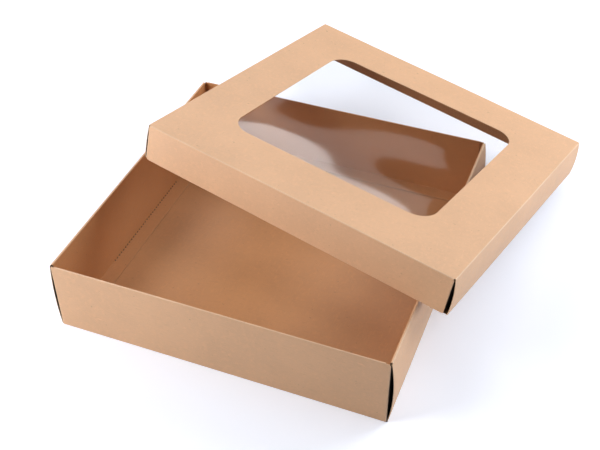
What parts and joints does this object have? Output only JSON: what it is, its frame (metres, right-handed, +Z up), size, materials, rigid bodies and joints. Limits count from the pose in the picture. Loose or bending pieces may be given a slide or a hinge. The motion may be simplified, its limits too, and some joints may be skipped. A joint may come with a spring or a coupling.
{
  "type": "window gift box",
  "caption": "Square kraft card gift box: open tray with rolled-over double walls, and a lift-off lid with a film window leaning askew on it.",
  "frame": {"origin": "middle of the tray's underside", "axes": "+X along the tray's front wall to the right, +Y from front to back, +Z up"},
  "size_m": [0.3917, 0.4351, 0.1344],
  "materials": {
    "kraft_card": "matte, natural brown kraft with fine fibre speckle",
    "clear_film": "clear, glossy, slightly wavy"
  },
  "bodies": {
    "root": {"tray": "kraft_card", "lid": "kraft_card", "window_film": "clear_film"}
  },
  "joints": []
}
